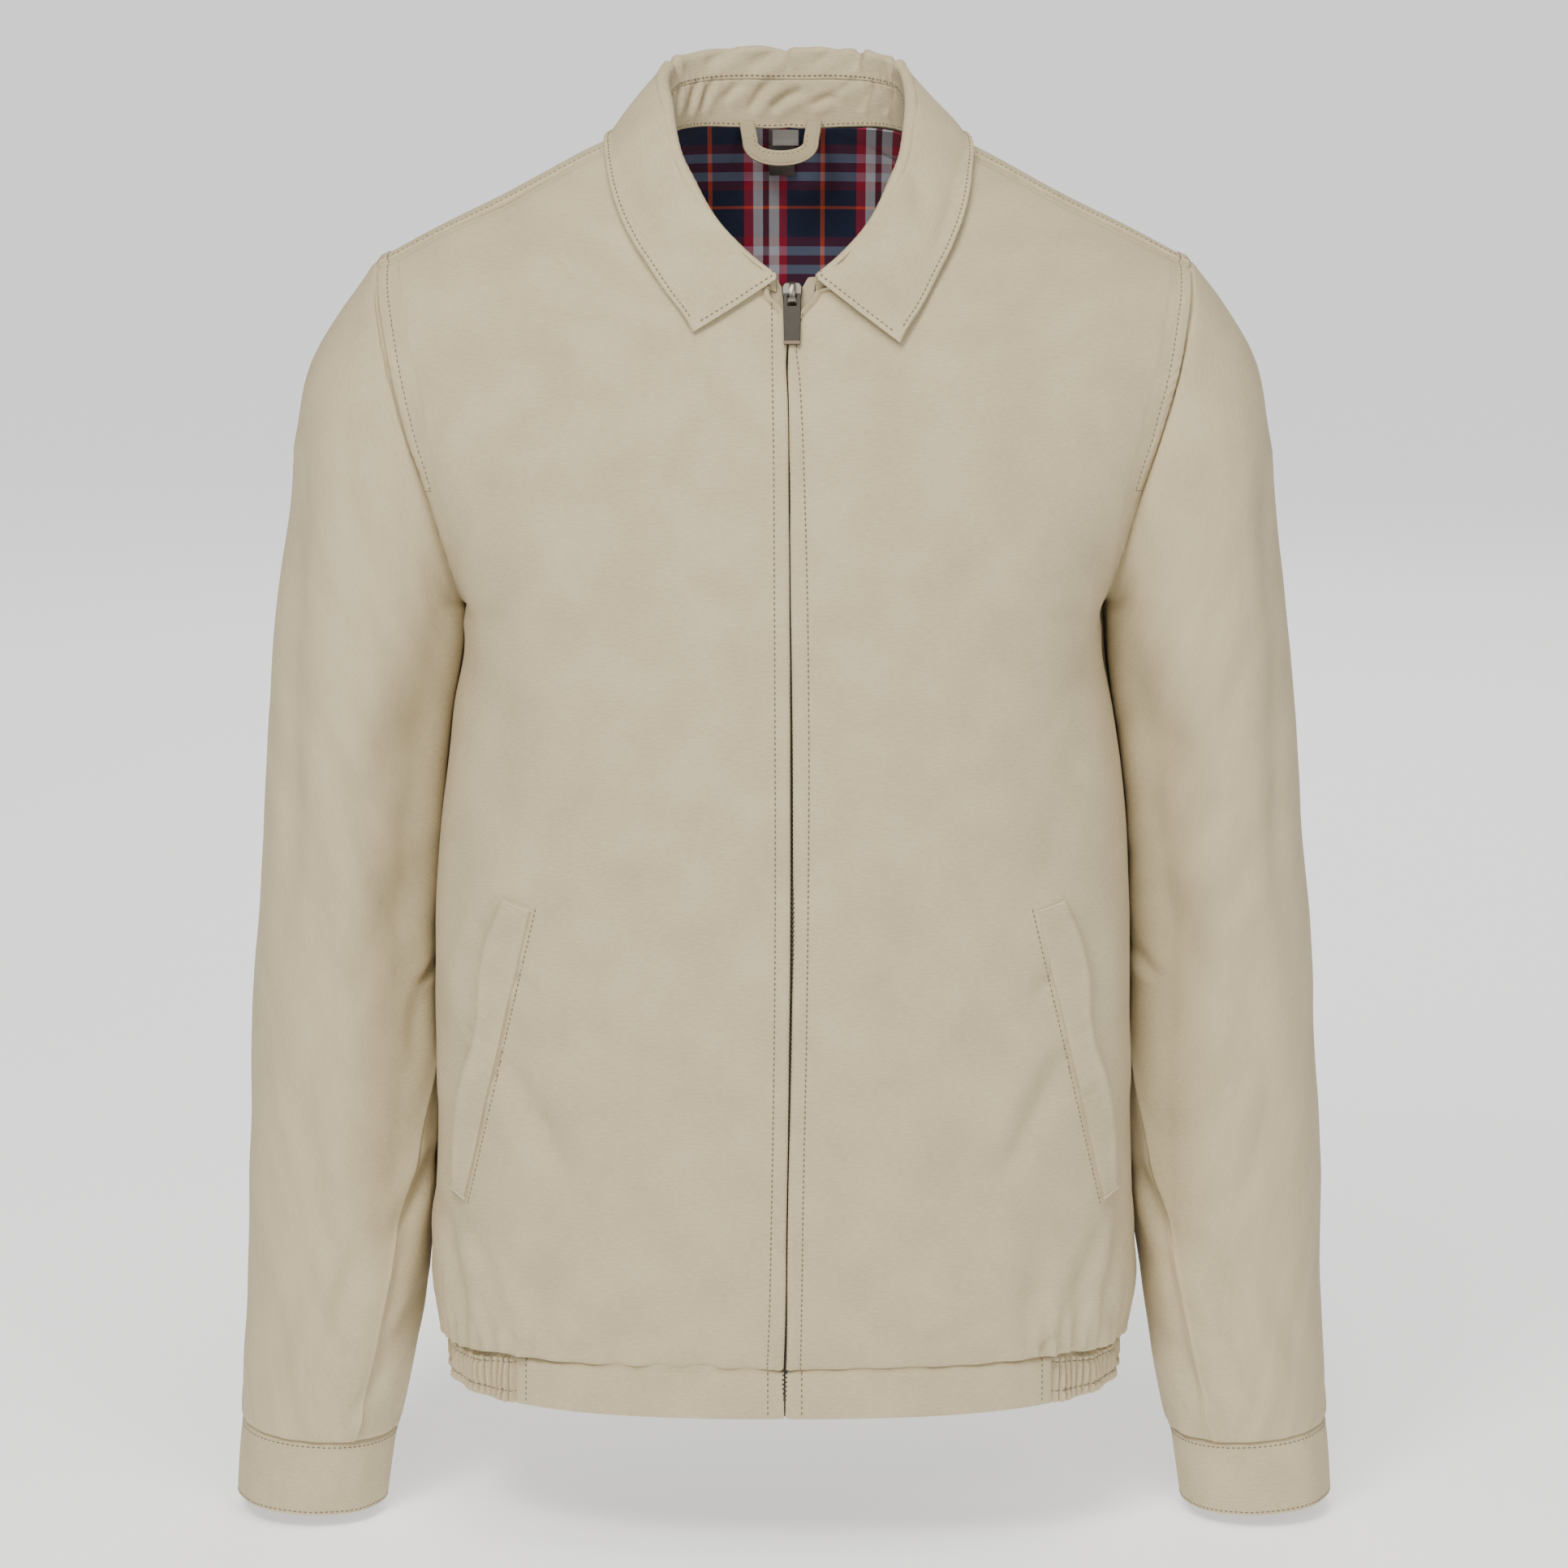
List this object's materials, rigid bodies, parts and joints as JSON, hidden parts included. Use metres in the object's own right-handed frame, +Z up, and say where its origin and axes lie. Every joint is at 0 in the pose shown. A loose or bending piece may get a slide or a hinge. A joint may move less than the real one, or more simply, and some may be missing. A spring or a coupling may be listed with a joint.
{
  "type": "harrington jacket",
  "caption": "Zip-front harrington jacket with a shirt-style collar, slanting welt pockets, plain cuffs and a hem band elasticated at the sides, hollow and filled out as worn.",
  "frame": {"origin": "middle of the neck opening at the height of the back neck seam, where the wearer's neck and shoulders hold the jacket up", "axes": "+Z up towards the collar, -Y the front with the zip, +X the wearer's left"},
  "size_m": [0.6064, 0.2515, 0.7964],
  "materials": {
    "cloth": "matt",
    "lining": "matt",
    "zip_tape": "matt",
    "slider_metal": "polished nickel",
    "pull_metal": "dark antique, brushed",
    "size_satin": "satin",
    "neck_satin": "satin"
  },
  "bodies": {
    "jacket": {"front_right": "cloth", "front_left": "cloth", "back": "cloth", "sleeve_right": "cloth", "sleeve_left": "cloth", "cuff_right": "cloth", "cuff_left": "cloth", "collar_stand": "cloth", "collar_leaf": "cloth", "hem_front_right": "cloth", "hem_front_left": "cloth", "hem_elastic_right": "cloth", "hem_elastic_left": "cloth", "hem_back": "cloth", "pocket_welt_right": "cloth", "pocket_welt_left": "cloth", "hanger_loop": "cloth", "lining_back": "lining", "zip_tape": "zip_tape", "zip_slider": "slider_metal", "size_label": "size_satin", "neck_label": "neck_satin"},
    "zip_pull": {"zip_pull": "pull_metal"}
  },
  "joints": [
    {"name": "zip_pull_swing", "type": "hinge", "parent": "jacket", "child": "zip_pull", "pos_m": [0.0042, -0.08576, -0.0781], "axis": [-1, 0, 0], "range_deg": [0, 150]}
  ]
}
